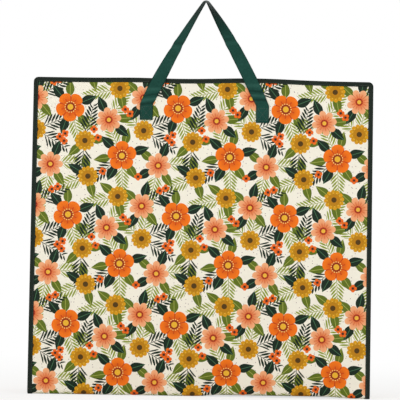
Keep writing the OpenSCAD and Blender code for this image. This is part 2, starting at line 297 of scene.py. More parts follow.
def flowers(tree, cloth, below, spots, radius, petals, notch, tones, vein, rings, dots):
    """Paints round flowers: petals shaded from the middle out, veins, centre rings and dots."""
    offset = nearest(tree, cloth, spots)
    parts = add(tree, "SeparateXYZ", offset).outputs
    level = add(tree, "VectorMath MULTIPLY", offset, (1, 1, 0))
    away = add(tree, "VectorMath LENGTH", level).outputs["Value"]
    angle = add(tree, "Math ARCTAN2", parts[1], parts[0])
    angle = add(tree, "Math ADD", angle, parts[2])
    lobe = add(tree, "Math MULTIPLY", angle, petals / 2)
    lobe = add(tree, "Math COSINE", lobe)
    lobe = add(tree, "Math ABSOLUTE", lobe)
    swell = add(tree, "Math POWER", lobe, 0.45)
    rim = add(tree, "Math MULTIPLY_ADD", swell, radius * notch, radius * (1 - notch))
    inside = add(tree, "Math LESS_THAN", away, rim)
    outward = add(tree, "Math DIVIDE", away, rim)
    shade = add(tree, "MapRange", outward, 0.25, 0.95, 0.0, 1.0, interpolation_type="SMOOTHSTEP")
    petal = painted(tree, shade, *tones)
    gap = add(tree, "Math LESS_THAN", lobe, 0.16)
    ridge = add(tree, "Math GREATER_THAN", lobe, 0.985)
    low = add(tree, "Math LESS_THAN", outward, 0.62)
    ridge = add(tree, "Math MULTIPLY", ridge, low)
    line = add(tree, "Math MAXIMUM", gap, ridge)
    petal = painted(tree, line, petal, vein)
    below = painted(tree, inside, below, petal)
    for size, tone in rings:
        disc = add(tree, "Math LESS_THAN", away, radius * size)
        below = painted(tree, disc, below, tone)
    ring_at, dot_size, count, tone = dots
    step = add(tree, "Math WRAP", angle, math.pi / count, -math.pi / count)
    along = add(tree, "Math MULTIPLY", step, radius * ring_at)
    outer = add(tree, "Math SUBTRACT", away, radius * ring_at)
    along = add(tree, "Math MULTIPLY", along, along)
    spread = add(tree, "Math MULTIPLY_ADD", outer, outer, along)
    dot = add(tree, "Math LESS_THAN", spread, dot_size**2)
    return painted(tree, dot, below, tone)


def leaves(tree, cloth, below, spots, length, width, tone, rib):
    """Paints single leaves, round at the stalk and pointed at the tip, with a pale rib."""
    parts = turned(tree, cloth, spots)
    along = add(tree, "Math MULTIPLY", parts[0], 2 / length)
    square = add(tree, "Math MULTIPLY", along, along)
    bow = add(tree, "Math MULTIPLY_ADD", square, -width / 2, width / 2)
    bow = add(tree, "Math MAXIMUM", bow, 0.0)
    taper = add(tree, "Math MULTIPLY_ADD", along, -0.45, 1.0)
    bow = add(tree, "Math MULTIPLY", bow, taper)
    side = add(tree, "Math ABSOLUTE", parts[1])
    inside = add(tree, "Math LESS_THAN", side, bow)
    below = painted(tree, inside, below, tone)
    narrow = add(tree, "Math LESS_THAN", side, 0.5)
    narrow = add(tree, "Math MULTIPLY", narrow, inside)
    return painted(tree, narrow, below, rib)


def sprigs(tree, cloth, below, spots, length, pitch, leaflet, thick, tone):
    """Paints stems with slanting leaflets that shorten towards the tip."""
    parts = turned(tree, cloth, spots)
    side = add(tree, "Math ABSOLUTE", parts[1])
    hand = add(tree, "Math SIGN", parts[1])
    slant = add(tree, "Math SUBTRACT", parts[0], side)
    slant = add(tree, "Math MULTIPLY_ADD", hand, pitch / 4, slant)
    step = add(tree, "Math WRAP", slant, pitch / 2, -pitch / 2)
    step = add(tree, "Math ABSOLUTE", step)
    reach = add(tree, "Math MULTIPLY_ADD", parts[0], -0.6 * leaflet / length, 0.75 * leaflet)
    out = add(tree, "Math DIVIDE", side, reach)
    rest = add(tree, "Math SUBTRACT", 1.0, out)
    bow = add(tree, "Math MULTIPLY", out, rest)
    bow = add(tree, "Math MULTIPLY", bow, 2 * thick)
    blade = add(tree, "Math LESS_THAN", step, bow)
    middle = add(tree, "Math ABSOLUTE", slant)
    within = add(tree, "Math LESS_THAN", middle, length / 2)
    blade = add(tree, "Math MULTIPLY", blade, within)
    stem = add(tree, "Math ABSOLUTE", parts[0])
    stem = add(tree, "Math LESS_THAN", stem, length / 2)
    narrow = add(tree, "Math LESS_THAN", side, 0.55)
    stem = add(tree, "Math MULTIPLY", stem, narrow)
    mask = add(tree, "Math MAXIMUM", blade, stem)
    return painted(tree, mask, below, tone)


def new_cloth(name):
    """A material with its tree, the place on the flat cloth in millimetres, and that place's parts."""
    material, tree = new_material(name)
    cut = add(tree, "UVMap", uv_map="cut")
    cloth = add(tree, "VectorMath MULTIPLY", cut, (1000, 1000, 0))
    return material, tree, cloth, add(tree, "SeparateXYZ", cloth).outputs


def finished(tree, look, height=None, depth=0.0, strength=0.5):
    """Ends a material in a shader with these values, and with relief where a height is given."""
    if height:
        relief = add(tree, "Bump", {"Strength": strength, "Distance": depth, "Height": height})
        look = {**look, "Normal": relief}
    add(tree, "OutputMaterial", add(tree, "BsdfPrincipled", look))


def ribs(tree, along, pitch):
    """Rounded ribs, from -1 to 1, a pitch in millimetres apart."""
    wave = add(tree, "Math MULTIPLY", along, 2 * math.pi / pitch)
    return add(tree, "Math SINE", wave)


TAPE_PITCH = 2.4


def tape_weave(tree, parts):
    """Flat tapes woven one over the other: height, from 0 at a tape's edges to 1, and which is up."""
    waves = [ribs(tree, parts[axis], 2 * TAPE_PITCH) for axis in (0, 1)]
    both = add(tree, "Math MULTIPLY", *waves)
    warp_up = add(tree, "Math GREATER_THAN", both, 0.0)
    warp, weft = [add(tree, "Math ABSOLUTE", wave) for wave in waves]
    height = add(tree, "Mix", {0: warp_up, 2: weft, 3: warp})
    return add(tree, "Math POWER", height, 0.5), warp_up


# Woven polypropylene cloth, printed and laminated: a smooth half-gloss skin that takes the light
# broadly, over flat 2.4 mm tapes woven one over the other, with a thin line of shade at their edges
printed_cloth, tree, cloth, parts = new_cloth("printed_laminated_woven_polypropylene")
specks = add(tree, "TexVoronoi", {"Vector": cloth, "Scale": 1 / 7.5}, voronoi_dimensions="2D")
speck = add(tree, "Math LESS_THAN", specks.outputs["Distance"], 0.11)
pick = add(tree, "SeparateXYZ", specks.outputs["Color"])
pick = add(tree, "Math LESS_THAN", pick, 0.45)
speck = add(tree, "Math MULTIPLY", speck, pick)
ink = painted(tree, speck, "#f0ebdb", "#9c8a8e")
for paint, *motif in (
    (sprigs, LIGHT_SPRIG_SPOTS, 54, 7.0, 19, 4.8, "#88962f"),
    (leaves, OLIVE_LEAF_SPOTS, 34, 16, "#5c6c1c", "#a4ab52"),
    (sprigs, DARK_SPRIG_SPOTS, 50, 8.0, 21, 6.0, "#102518"),
    (leaves, DARK_LEAF_SPOTS, 34, 17, "#0d2417", "#44704e"),
    (flowers, BUD_SPOTS, 7.5, 4, 0.5, ("#d9500f", "#ee6a14"), "#a93c10",
     [(0.3, "#2b2a1d")], (0.55, 0.4, 4, "#f6c04a")),
    (flowers, BUTTON_SPOTS, 19.5, 12, 0.22, ("#ab7408", "#d49713"), "#96670c",
     [(0.46, "#b87c0c"), (0.26, "#4f370c")], (0.68, 0.9, 12, "#ecc04a")),
    (flowers, DAISY_SPOTS, 24, 8, 0.4, ("#dc7540", "#eeaa7a"), "#cf6233",
     [(0.3, "#b5391c"), (0.16, "#e9b23c")], (0.23, 0.8, 9, "#3a1c14")),
    (flowers, BIG_SPOTS, 28, 5, 0.3, ("#cf5208", "#ef7411"), "#c2460d",
     [(0.32, "#8c2c10"), (0.2, "#e8b030")], (0.36, 1.1, 14, "#f7d27a")),
):
    ink = paint(tree, cloth, ink, *motif)
height, warp_up = tape_weave(tree, parts)
edge = add(tree, "MapRange", height, 0.15, 0.75, 0.16, 0.0)
ink = painted(tree, edge, ink, "#5a5040")
rub = add(tree, "TexNoise", {"Vector": cloth, "Scale": 0.035, "Detail": 4.0})
gloss = add(tree, "MapRange", rub, 0.3, 0.7, 0.4, 0.54)
gloss = add(tree, "Math MULTIPLY_ADD", warp_up, 0.07, gloss)
finished(tree, {"Base Color": ink, "Roughness": gloss, "IOR": 1.49, "Specular IOR Level": 0.15},
         height, 0.2 * MM, 0.45)

# The same cloth unprinted, seen inside: dull off-white tapes with lines of shade between them
cloth_backing, tree, cloth, parts = new_cloth("unprinted_woven_polypropylene_backing")
height, warp_up = tape_weave(tree, parts)
tone = painted(tree, warp_up, "#e3e0d5", "#eae7dd")
edge = add(tree, "MapRange", height, 0.15, 0.75, 0.22, 0.0)
tone = painted(tree, edge, tone, "#7d776a")
finished(tree, {"Base Color": tone, "Roughness": 0.62, "IOR": 1.49}, height, 0.2 * MM)

# Polyester grosgrain tape: a dull dark green with fine cross ribs, drawn at 1.6 mm for the render
RIB_PITCH = 1.6
binding_tape, tree, cloth, parts = new_cloth("woven_polyester_grosgrain_binding")
rib = ribs(tree, parts[1], RIB_PITCH)
fade = add(tree, "TexNoise", {"Vector": cloth, "Scale": 0.09, "Detail": 3.0})
shade = add(tree, "MapRange", rib, -1.0, 1.0, 0.0, 0.6)
shade = add(tree, "Math MULTIPLY", shade, fade)
tone = painted(tree, shade, "#18201a", "#36413a")
finished(tree, {"Base Color": tone, "Roughness": 0.85, "IOR": 1.5, "Specular IOR Level": 0.15},
         rib, 0.15 * MM)

# Polypropylene webbing, woven in chevrons: smooth yarns with a soft satin light, tight dark
# selvedges, painted shade and painted highlights across the bends, and painted shade darkening the
# length at the crease.
# The chevron ribs are drawn at 2.6 mm so that they show
CHEVRON = 2.6
CHEVRON_HALF = 6.0
# along the strap, in millimetres: its middle and the middle of the painted shade at the crease
STRAP_MIDDLE = 253.0
CREST_SHADE_MIDDLE = 264.0
# painted shade and painted highlights of the bends: distance from the strap's middle, slant, half
# width, strength and tone
BEND_SHADE_AND_HIGHLIGHTS = [
    (91.0, 0.3, 5.0, 0.35, "#0b211b"), (100.0, 0.3, 6.0, 0.06, "#558b7d"),
    (191.0, 0.45, 7.0, 0.12, "#558b7d"), (203.0, 0.45, 4.4, 0.55, "#0b211b"),
    (213.0, 0.3, 5.5, 0.17, "#558b7d"), (222.0, 0.15, 4.4, 0.55, "#0b211b"),
]
webbing, tree, cloth, parts = new_cloth("chevron_woven_polypropylene_webbing")
chevron = add(tree, "Math PINGPONG", parts[0], CHEVRON_HALF)
slope = add(tree, "Math MULTIPLY_ADD", chevron, 0.8, parts[1])
rib = ribs(tree, slope, CHEVRON)
yarn = add(tree, "TexNoise", {"Vector": cloth, "Scale": 0.25, "Detail": 3.0})
shade = add(tree, "MapRange", rib, -1.0, 1.0, 0.1, 0.9)
shade = add(tree, "Math MULTIPLY", shade, yarn)
tone = painted(tree, shade, "#183c34", "#34685c")
dye = add(tree, "TexNoise", {"Vector": cloth, "Scale": 1 / 32, "Detail": 2.0})
dye = add(tree, "MapRange", dye, 0.35, 0.65, 0.45, 0.0)
tone = painted(tree, dye, tone, "#12342b")
side = add(tree, "Math ABSOLUTE", parts[0])
selvedge = add(tree, "MapRange", side, 10.6, 11.8, 0.0, 0.6)
tone = painted(tree, selvedge, tone, "#0c231d")
past = add(tree, "Math SUBTRACT", parts[1], STRAP_MIDDLE)
past = add(tree, "Math ABSOLUTE", past)
# painted shade (the dark tones) and painted highlights (the pale tones) in bands across the bends of
# the strap
for at, slant, half_width, strength, shading_tone in BEND_SHADE_AND_HIGHLIGHTS:
    away = add(tree, "Math MULTIPLY_ADD", parts[0], -slant, past)
    away = add(tree, "Math SUBTRACT", away, at)
    away = add(tree, "Math ABSOLUTE", away)
    bend_shading = add(tree, "MapRange", away, 0.0, half_width, strength, 0.0,
               interpolation_type="SMOOTHSTEP")
    tone = painted(tree, bend_shading, tone, shading_tone)
# painted shade: the strap's colour darkens towards the crease at the top of the loop
past = add(tree, "Math SUBTRACT", parts[1], CREST_SHADE_MIDDLE)
past = add(tree, "Math ABSOLUTE", past)
painted_crest_shade = add(tree, "MapRange", past, 14.0, 92.0, 0.9, 0.0, interpolation_type="SMOOTHSTEP")
tone = painted(tree, painted_crest_shade, tone, "#06140f")
finished(tree, {"Base Color": tone, "Roughness": 0.55, "IOR": 1.49, "Specular IOR Level": 0.04},
         rib, 0.3 * MM)

# Knitted polyester zip tape: dark green, matt, with fine ribs along the zip, drawn at 1.2 mm to show
ZIP_RIB_PITCH = 1.2
zip_tape, tree, cloth, parts = new_cloth("knitted_polyester_zip_tape")
rib = ribs(tree, parts[1], ZIP_RIB_PITCH)
shade = add(tree, "MapRange", rib, -1.0, 1.0, 0.0, 1.0)
tone = painted(tree, shade, "#1c2a22", "#2c3d33")
finished(tree, {"Base Color": tone, "Roughness": 0.8, "IOR": 1.5}, rib, 0.15 * MM)

# Nylon coil, drawn and set: smooth dark monofilament with soft highlights on each turn
coil_nylon, tree = new_material("drawn_nylon_zip_coil")
place = add(tree, "TexCoord").outputs["Object"]
grime = add(tree, "TexNoise", {"Vector": place, "Scale": 60.0, "Detail": 2.0})
tone = painted(tree, grime, "#17211b", "#2a3a30")
finished(tree, {"Base Color": tone, "Roughness": 0.36, "IOR": 1.53})

# Cast zinc, lacquered in dark grey-green: smooth and glossy, paler where fingers rub it
slider_metal, tree = new_material("lacquered_cast_zinc")
place = add(tree, "TexCoord").outputs["Object"]
wear = add(tree, "TexNoise", {"Vector": place, "Scale": 320.0, "Detail": 4.0})
edge = add(tree, "MapRange", add(tree, "NewGeometry").outputs["Pointiness"], 0.5, 0.62, 0.0, 0.6)
edge = add(tree, "Math MULTIPLY", edge, wear)
tone = painted(tree, edge, "#2c3732", "#8d9490")
skin = add(tree, "MapRange", wear, 0.3, 0.7, 0.28, 0.42)
finished(tree, {"Base Color": tone, "Metallic": 0.6, "Roughness": skin})

# Spun polyester sewing thread: dark green, soft, with a slight fuzz
thread, tree = new_material("spun_polyester_thread")
place = add(tree, "TexCoord").outputs["Object"]
ply = add(tree, "TexNoise", {"Vector": place, "Scale": 900.0, "Detail": 2.0})
tone = painted(tree, ply, "#182c25", "#355045")
finished(tree, {"Base Color": tone, "Roughness": 0.7, "IOR": 1.5, "Sheen Weight": 0.2})


# Making the pieces
def new_piece(name, points, faces, materials, cut=None):
    """A smooth mesh piece; cut gives each point's place on the flat cloth, in metres."""
    mesh = bpy.data.meshes.new(name)
    mesh.from_pydata([tuple(p) for p in points], [], faces)
    if cut is not None:
        corners = np.empty(len(mesh.loops), dtype=np.int32)
        mesh.loops.foreach_get("vertex_index", corners)
        layer = mesh.uv_layers.new(name="cut")
        layer.data.foreach_set("uv", np.asarray(cut, dtype=np.float32)[corners].ravel())
    mesh.polygons.foreach_set("use_smooth", [True] * len(mesh.polygons))
    for material in materials:
        mesh.materials.append(material)
    piece = placed(name, mesh)
    return piece


def new_sheet(name, points, faces, cut):
    """A piece of the printed cloth."""
    return new_piece(name, points, faces, [printed_cloth, cloth_backing], cut)


def reworked(piece, work_on):
    """Reworks the mesh of a piece."""
    work = bmesh.new()
    work.from_mesh(piece.data)
    work_on(work)
    work.to_mesh(piece.data)
    work.free()


def face_outward(piece):
    """Turns the faces of closed forms outward."""
    reworked(piece, lambda work: bmesh.ops.recalc_face_normals(work, faces=work.faces))


def rides(body):
    """How a piece that belongs to one body moves."""
    return lambda piece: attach(piece, body)


def bends():
    """Bakes the place of a piece that bends from the bag into its mesh; it is tied to no body."""
    return lambda piece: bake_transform(piece)


ON_BAG = rides("bag")


def grid_faces(rows, columns, turned_over, kept=lambda row, column: True):
    """Four-sided faces over a grid of points, row after row."""
    faces = [
        (r * columns + c, r * columns + c + 1, (r + 1) * columns + c + 1, (r + 1) * columns + c)
        for r in range(rows - 1)
        for c in range(columns - 1)
        if kept(r, c)
    ]
    return [face[::-1] for face in faces] if turned_over else faces


def tube_faces(first, rings, sides):
    """Faces of a tube of rings of points and of its two ends, from the point numbered first."""
    faces = []
    for ring in range(rings - 1):
        a = first + ring * sides
        b = a + sides
        faces += [(a + k, a + (k + 1) % sides, b + (k + 1) % sides, b + k) for k in range(sides)]
    last = first + (rings - 1) * sides
    faces.append(tuple(reversed(range(first, first + sides))))
    faces.append(tuple(range(last, last + sides)))
    return faces


def ring_points(middle, side, up, count):
    """Points round a thread or wire; side and up reach from its middle to its skin."""
    angles = [math.tau * k / count for k in range(count)]
    return [middle + side * math.cos(angle) + up * math.sin(angle) for angle in angles]


def run_lengths(places):
    """Distance along a line of places."""
    runs = [0.0]
    for before, after in zip(places, places[1:]):
        runs.append(runs[-1] + (after - before).length)
    return runs


def sweep(rings, section, runs):
    """Points, faces and cloth places of a closed section carried along rings."""
    points, cut = [], []
    for (middle, across, up), run in zip(rings, runs):
        points += [middle + across * a + up * u for a, u in section]
        cut += [(a, run) for a, u in section]
    return points, tube_faces(0, len(rings), len(section)), cut


def thickened(piece, smooth_levels=1):
    """Gives a sheet its thickness, inward from the outer face, with the backing inside."""
    if smooth_levels:
        soften = piece.modifiers.new("soft_curve", "SUBSURF")
        soften.levels = smooth_levels
        soften.render_levels = smooth_levels
    wall = piece.modifiers.new("cloth_thickness", "SOLIDIFY")
    wall.thickness = FABRIC_T
    wall.offset = -1
    wall.material_offset = 1
    wall.material_offset_rim = 1


def settled(piece, pins, pressure_weights, pressure, slack):
    """Lets pinned cloth settle under a light inner pressure; returns the settled places."""
    mesh = piece.data
    start = np.empty(len(mesh.vertices) * 3)
    mesh.vertices.foreach_get("co", start)
    sewn = piece.vertex_groups.new(name="sewn")
    sewn.add([i for i, held in enumerate(pins) if held], 1.0, "REPLACE")
    pushed = piece.vertex_groups.new(name="pushed")
    for index, weight in enumerate(pressure_weights):
        pushed.add([index], weight, "REPLACE")
    cloth = piece.modifiers.new("settling", "CLOTH")
    rules = cloth.settings
    rules.quality = 5
    rules.mass = 0.05
    rules.tension_stiffness = 60
    rules.compression_stiffness = 60
    rules.shear_stiffness = 30
    rules.bending_stiffness = 6
    rules.air_damping = 3
    rules.vertex_group_mass = "sewn"
    rules.shrink_min = -slack
    rules.use_pressure = True
    rules.uniform_pressure_force = pressure
    rules.vertex_group_pressure = "pushed"
    rules.effector_weights.gravity = 0.2
    for step in range(1, 26):
        scene.frame_set(step)
    view = piece.evaluated_get(bpy.context.evaluated_depsgraph_get())
    end = np.empty(len(mesh.vertices) * 3)
    view.data.vertices.foreach_get("co", end)
    piece.modifiers.remove(cloth)
    piece.vertex_groups.clear()
    scene.frame_set(1)
    return end.reshape(-1, 3)


STITCH_SIDES = 5
# lift over the cloth and radius of a stitch at its start, middle and end
STITCH_RINGS = [(-0.12 * MM, 0.2 * MM), (0.2 * MM, 0.34 * MM), (-0.12 * MM, 0.2 * MM)]


def stitched(name, lines, moves, replaced=()):
    """One mesh of thread stitches along lines of (points, outward directions)."""
    points, faces = [], []
    for places, outs in lines:
        lengths = run_lengths(places)
        start = STITCH_START
        while start + STITCH_LONG < lengths[-1]:
            knots = []
            for run in (start, start + STITCH_LONG / 2, start + STITCH_LONG):
                i = min(len(places) - 2, int(np.searchsorted(lengths, run, side="right")) - 1)
                share = (run - lengths[i]) / max(1e-9, lengths[i + 1] - lengths[i])
                knots.append((places[i].lerp(places[i + 1], share), outs[i].lerp(outs[i + 1], share)))
            ahead = (knots[2][0] - knots[0][0]).normalized()
            faces += tube_faces(len(points), len(knots), STITCH_SIDES)
            for (spot, out), (lift, radius) in zip(knots, STITCH_RINGS):
                side = out.cross(ahead).normalized()
                points += ring_points(spot + out * lift, side * radius, out * radius, STITCH_SIDES)
            start += STITCH_PITCH
    piece = new_piece(name, points, faces, [thread])
    face_outward(piece)
    if replaced:
        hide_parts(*replaced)
    moves(piece)


# Body sheet: one length of cloth down the front, under the base and up the back
SHEET_TOP = EDGE_Z - 0.8 * MM
SHEET_SIDE = EDGE_X - 0.8 * MM
SEAM_RUN = SHEET_TOP - SEAM_Z
STRAIGHT = SHEET_TOP - FOLD_R
ARC = FOLD_R * math.pi / 2
HALF_RUN = STRAIGHT + ARC + HALF_DEPTH - FOLD_R
# slack: where it begins below the top edges, and how far and where the front fold of the base lifts
SLACK_FROM = 0.42
FOOT_LIFT = 3.4 * MM
FOOT_START, FOOT_FULL, FOOT_EASING, FOOT_END = -0.01, 0.05, 0.23, 0.30
FOOT_DEPTH, FOOT_HEIGHT = 0.07, 0.09
# the cloth is held fast round the sewn ends of the straps
ROOT_HOLD, ROOT_HOLD_TOP = 15 * MM, 0.565
# heights where the inner push and the swell end, for the front (-1) and the back (1), and their fading
PUSH_TOP, PUSH_FADE = {-1: 0.46, 1: 0.33}, 0.22
SWELL_TOP, SWELL_FADE = {-1: 0.50, 1: 0.36}, 0.16
SWELL_MOST, HOLLOW_MOST, SLIP_MOST = 13 * MM, 6 * MM, 2 * MM


def body_line(run):
    """Place and outward direction on the outer face, run metres down from the front top edge."""
    hand = -1 if run <= HALF_RUN else 1
    run = min(run, 2 * HALF_RUN - run)
    if run <= STRAIGHT:
        y, z, turn = HALF_DEPTH, SHEET_TOP - run, 0.0
    elif run <= STRAIGHT + ARC:
        turn = (run - STRAIGHT) / FOLD_R
        y = HALF_DEPTH - FOLD_R * (1 - math.cos(turn))
        z = FOLD_R * (1 - math.sin(turn))
    else:
        y, z, turn = HALF_DEPTH - FOLD_R - (run - STRAIGHT - ARC), 0.0, math.pi / 2
    return Vector((0, hand * y, z)), Vector((0, hand * math.cos(turn), -math.sin(turn)))


def lifted(x, place):
    """How far the slack lifts the cloth, below the top edges and where the front fold rides clear."""
    foot = smooth(x, FOOT_START, FOOT_FULL) * (1 - smooth(x, FOOT_EASING, FOOT_END))
    foot *= smooth(-place.y, HALF_DEPTH - FOOT_DEPTH, HALF_DEPTH - FOLD_R)
    foot *= 1 - smooth(place.z, 0.0, FOOT_HEIGHT)
    return edge_wave(x) * smooth(place.z, SLACK_FROM, SEAM_Z) + FOOT_LIFT * foot


def rounded_corner(x, z):
    """Cuts the top corners of the sheet round, to lie inside the bound corners."""
    out, up = abs(x) - SEAM_X, z - SEAM_Z
    if min(out, up) <= 0:
        return x, z
    pull = max(out, up) / math.hypot(out, up)
    return math.copysign(SEAM_X + out * pull, x), SEAM_Z + up * pull


half_rows = [0.0, 0.5 * SEAM_RUN, SEAM_RUN - 0.4 * MM, SEAM_RUN + 0.6 * MM]
half_rows += spaced(SEAM_RUN + 7 * MM, STRAIGHT - 4 * MM, CELL)
half_rows += spaced(STRAIGHT, STRAIGHT + ARC, ARC / 4)
half_rows += spaced(STRAIGHT + ARC + 6 * MM, HALF_RUN, CELL)
body_rows = half_rows + [2 * HALF_RUN - run for run in reversed(half_rows[:-1])]
inner_columns = spaced(-(SEAM_X - 7 * MM), SEAM_X - 7 * MM, CELL)
edge_columns = [SEAM_X - 0.6 * MM, SEAM_X + 0.4 * MM, 0.5 * (SEAM_X + SHEET_SIDE), SHEET_SIDE]
body_columns = [-x for x in reversed(edge_columns)] + inner_columns + edge_columns

points, cut, pins, pushes = [], [], [], []
for run in body_rows:
    middle, out = body_line(run)
    push_top = PUSH_TOP[-1 if middle.y < 0 else 1]
    for x in body_columns:
        across, height = rounded_corner(x, middle.z)
        spot = Vector((across, middle.y, height + lifted(x, middle)))
        margin = abs(x) > SEAM_X or middle.z > SEAM_Z
        points.append(spot - out * (MARGIN_DEPTH if margin else 0))
        cut.append((x, -run))
        beside_root = abs(abs(x) - STRAP_ROOT_X) < ROOT_HOLD
        root = beside_root and STRAP_ROOT_LOW - 4 * MM < middle.z < ROOT_HOLD_TOP
        near_seam = abs(x) > SEAM_X - 2 * MM or middle.z > SEAM_Z - 2 * MM
        pins.append(near_seam or middle.z < 0.5 * MM or root)
        pushes.append(1 - smooth(middle.z, push_top - PUSH_FADE, push_top))
faces = grid_faces(len(body_rows), len(body_columns), True)
body_fabric = new_sheet("body_fabric", points, faces, cut)
places = settled(body_fabric, pins, pushes, pressure=0.35, slack=0.0016)
for index, (old, new) in enumerate(zip(np.array(points), places)):
    if old[2] < 0.5 * MM:
        continue
    # the cloth may swell low down, but stays behind the straps higher up
    hand = -1 if old[1] < 0 else 1
    swell_top = SWELL_TOP[hand]
    room = 0.1 * MM + SWELL_MOST * (1 - smooth(old[2], swell_top - SWELL_FADE, swell_top))
    step = np.clip(new - old, -SLIP_MOST, SLIP_MOST)
    swell = hand * (new - old)[1]
    step[1] = hand * (room * math.tanh(swell / room) if swell > 0 else max(-HOLLOW_MOST, swell))
    place = old + step
    place[2] = max(0.0, place[2])
    body_fabric.data.vertices[index].co = place
thickened(body_fabric)
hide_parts("body_sheet")
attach(body_fabric, "bag")

# Gussets: side walls with a soft storage crease, folded in at the top and slotted round the zip
WALL_X = SEAM_X - 0.3 * MM
LIP_Y = HALF_DEPTH - LIP_DEPTH
RETURN_Z = SEAM_Z - 0.5 * MM
RETURN_R = 3 * MM
RETURN_W = WALL_X - ZIP_END_X
SLOT_END_X = 0.301
CREASE, CREASE_FOOT, CREASE_HEAD = 13 * MM, 0.14, 0.2
GUSSET_PUSH, GUSSET_PLAY = 0.4, 5 * MM
# where on the print the gussets and the top strips are cut
GUSSET_CUT = (1.7, 0.4)
STRIP_CUT = 1.1

half_columns = [(0.0, 0.0)] + [(y, 0.0) for y in spaced(STRIP_EDGE_Y, LIP_Y - 6 * MM, CELL)]
half_columns += [(LIP_Y - 0.9 * MM, 0.0), (LIP_Y, 0.7 * MM), (LIP_Y, LIP)]
gusset_columns = [(-y, out) for y, out in reversed(half_columns[1:])] + half_columns
# each row is (height, inset from the wall, lean of the lips from outward to upward, lip out)
gusset_rows = [(LIP_DEPTH, 0.0, 0.0, LIP), (LIP_DEPTH, 0.0, 0.0, 0.7 * MM)]
gusset_rows += [(z, 0.0, 0.0, 0.0) for z in spaced(LIP_DEPTH + 0.9 * MM, RETURN_Z - 9 * MM, CELL)]
for lean in spaced(0, math.pi / 2, math.pi / 8):
    drop, inset = RETURN_R * (1 - math.sin(lean)), RETURN_R * (1 - math.cos(lean))
    gusset_rows.append((RETURN_Z - drop, inset, lean, 0.0))
return_start = len(gusset_rows) - 1
return_xs = [0.309, 0.305, SLOT_END_X] + spaced(0.294, 0.254, 8 * MM)
return_rows = [(0.0, WALL_X - x) for x in return_xs]
return_rows += [(0.0, RETURN_W - 0.6 * MM), (0.8 * MM, RETURN_W + 0.4 * MM),
                (1.0 * MM, RETURN_W + 7 * MM)]
gusset_rows += [(RETURN_Z - drop, inset, math.pi / 2, 0.0) for drop, inset in return_rows]


def inside_fold(y, z):
    """Keeps a gusset point inside the rounded fold at the foot of the front and back."""
    centre_y, centre_z, reach = HALF_DEPTH - FOLD_R, FOLD_R, FOLD_R - LIP_DEPTH
    if abs(y) <= centre_y or z >= centre_z:
        return y, z
    away = math.hypot(abs(y) - centre_y, z - centre_z)
    pull = min(1.0, reach / away)
    return math.copysign(centre_y + (abs(y) - centre_y) * pull, y), centre_z + (z - centre_z) * pull


def gusset_face(row, column):
    """Whether a face of the gusset stays: not in the slot round the zip or at the foot's corners."""
    y = 0.5 * (gusset_columns[column][0] + gusset_columns[column + 1][0])
    x = WALL_X - gusset_rows[row + 1][1]
    slot = row >= return_start and abs(y) < STRIP_EDGE_Y and x < SLOT_END_X - 1e-6
    corner_notch = row == 0 and column in (0, len(gusset_columns) - 2)
    return not (slot or corner_notch)


for hand, end_name in ENDS:
    points, cut, pins = [], [], []
    run = 0.0
    for number, (height, inset, lean, foot_lip) in enumerate(gusset_rows):
        if number:
            before = gusset_rows[number - 1]
            run += math.hypot(height - before[0], inset - before[1]) + abs(foot_lip - before[3])
        crease = CREASE * smooth(height, 0.0, CREASE_FOOT) * smooth(RETURN_Z - height, 0.0, CREASE_HEAD)
        for y, lip in gusset_columns:
            in_y, in_z = inside_fold(y, height)
            x = WALL_X - inset - crease * (1 - abs(y) / LIP_Y) + foot_lip + lip * math.cos(lean)
            z = in_z + lip * math.sin(lean)
            if number > return_start:
                z -= top_drop(x, y)
            points.append((hand * x, in_y, z))
            cut.append((hand * (y + GUSSET_CUT[0]), run + GUSSET_CUT[1]))
            pins.append(lip > 0 or foot_lip > 0 or number >= return_start - 4 or number < 4)
    faces = grid_faces(len(gusset_rows), len(gusset_columns), hand < 0, gusset_face)
    gusset = new_sheet(end_name + "_gusset_fabric", points, faces, cut)
    places = settled(gusset, pins, [GUSSET_PUSH] * len(points), pressure=0.1, slack=0.0025)
    for index, (old, new) in enumerate(zip(np.array(points), places)):
        step = new - old
        far = np.linalg.norm(step)
        gusset.data.vertices[index].co = old + step * min(1.0, GUSSET_PLAY / max(far, 1e-9))
    reworked(gusset, lambda work: bmesh.ops.delete(
        work, geom=[v for v in work.verts if not v.link_faces], context="VERTS"))
    thickened(gusset)
    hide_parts(end_name + "_gusset")
    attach(gusset, "bag")

# Top strips, zip tapes and zip coils, each in a left and a right half that bend out of the fixed ends
strip_section = [(HEM_Y, 0.0)] + [(y, 0.0) for y in spaced(HEM_Y - 6 * MM, STRIP_EDGE_Y + 4 * MM, CELL)]
strip_section += [(STRIP_EDGE_Y + 1.4 * MM, 0.25 * MM), (STRIP_EDGE_Y + 0.2 * MM, 0.0),
                  (STRIP_EDGE_Y, -0.7 * MM), (STRIP_EDGE_Y + 0.5 * MM, -1.2 * MM)]
COIL_PITCH = 2.4 * MM
COIL_SIDES = 6
# half width of the wire along the zip and across its own run
COIL_ALONG, COIL_UP = 0.52 * MM, 0.48 * MM


